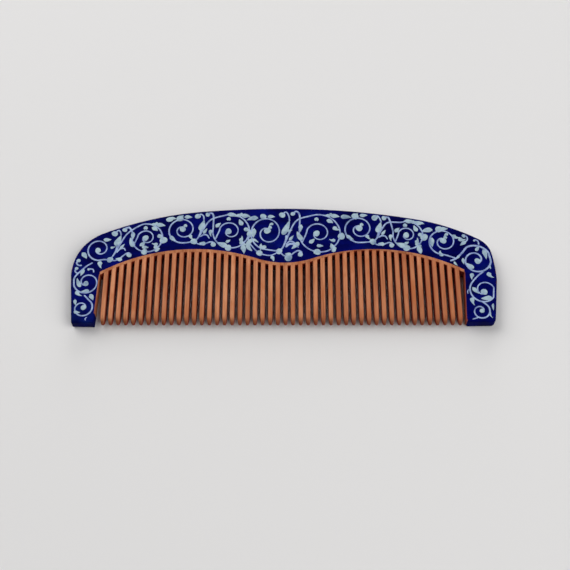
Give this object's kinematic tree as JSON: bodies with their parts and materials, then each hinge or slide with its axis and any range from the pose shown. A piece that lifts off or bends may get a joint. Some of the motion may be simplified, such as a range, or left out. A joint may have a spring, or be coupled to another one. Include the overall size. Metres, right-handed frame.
{
  "type": "decorative hair comb",
  "caption": "Flat wooden hair comb: a painted crescent spine with a guard at each end, over a row of parallel tapered bare-wood teeth.",
  "frame": {"origin": "bottom centre of the comb's bounding box, on its back face as it lies flat", "axes": "+X along the comb's length to the right-hand guard, +Y from the tooth tips to the crown, +Z out of the painted front face"},
  "size_m": [0.1656, 0.0508, 0.005],
  "materials": {
    "blue_painted_wood": "hand-brushed deep blue enamel, satin to semi-gloss, worn to the wood along the outer edge",
    "bare_wood": "fine-grained orange-brown wood, sanded and lightly oiled, grain along the teeth",
    "scroll_paint": "pale blue hand-painted scrollwork, slightly raised brush strokes, eggshell"
  },
  "bodies": {
    "root": {"spine": "blue_painted_wood", "left_end_guard": "blue_painted_wood", "right_end_guard": "blue_painted_wood", "tooth_rail": "bare_wood", "tooth_01": "bare_wood", "tooth_02": "bare_wood", "tooth_03": "bare_wood", "tooth_04": "bare_wood", "tooth_05": "bare_wood", "tooth_06": "bare_wood", "tooth_07": "bare_wood", "tooth_08": "bare_wood", "tooth_09": "bare_wood", "tooth_10": "bare_wood", "tooth_11": "bare_wood", "tooth_12": "bare_wood", "tooth_13": "bare_wood", "tooth_14": "bare_wood", "tooth_15": "bare_wood", "tooth_16": "bare_wood", "tooth_17": "bare_wood", "tooth_18": "bare_wood", "tooth_19": "bare_wood", "tooth_20": "bare_wood", "tooth_21": "bare_wood", "tooth_22": "bare_wood", "tooth_23": "bare_wood", "tooth_24": "bare_wood", "tooth_25": "bare_wood", "tooth_26": "bare_wood", "tooth_27": "bare_wood", "tooth_28": "bare_wood", "tooth_29": "bare_wood", "tooth_30": "bare_wood", "tooth_31": "bare_wood", "tooth_32": "bare_wood", "tooth_33": "bare_wood", "tooth_34": "bare_wood", "tooth_35": "bare_wood", "tooth_36": "bare_wood", "tooth_37": "bare_wood", "tooth_38": "bare_wood", "tooth_39": "bare_wood", "tooth_40": "bare_wood", "tooth_41": "bare_wood", "tooth_42": "bare_wood", "tooth_43": "bare_wood", "tooth_44": "bare_wood", "tooth_45": "bare_wood", "tooth_46": "bare_wood", "tooth_47": "bare_wood", "tooth_48": "bare_wood"}
  },
  "joints": []
}
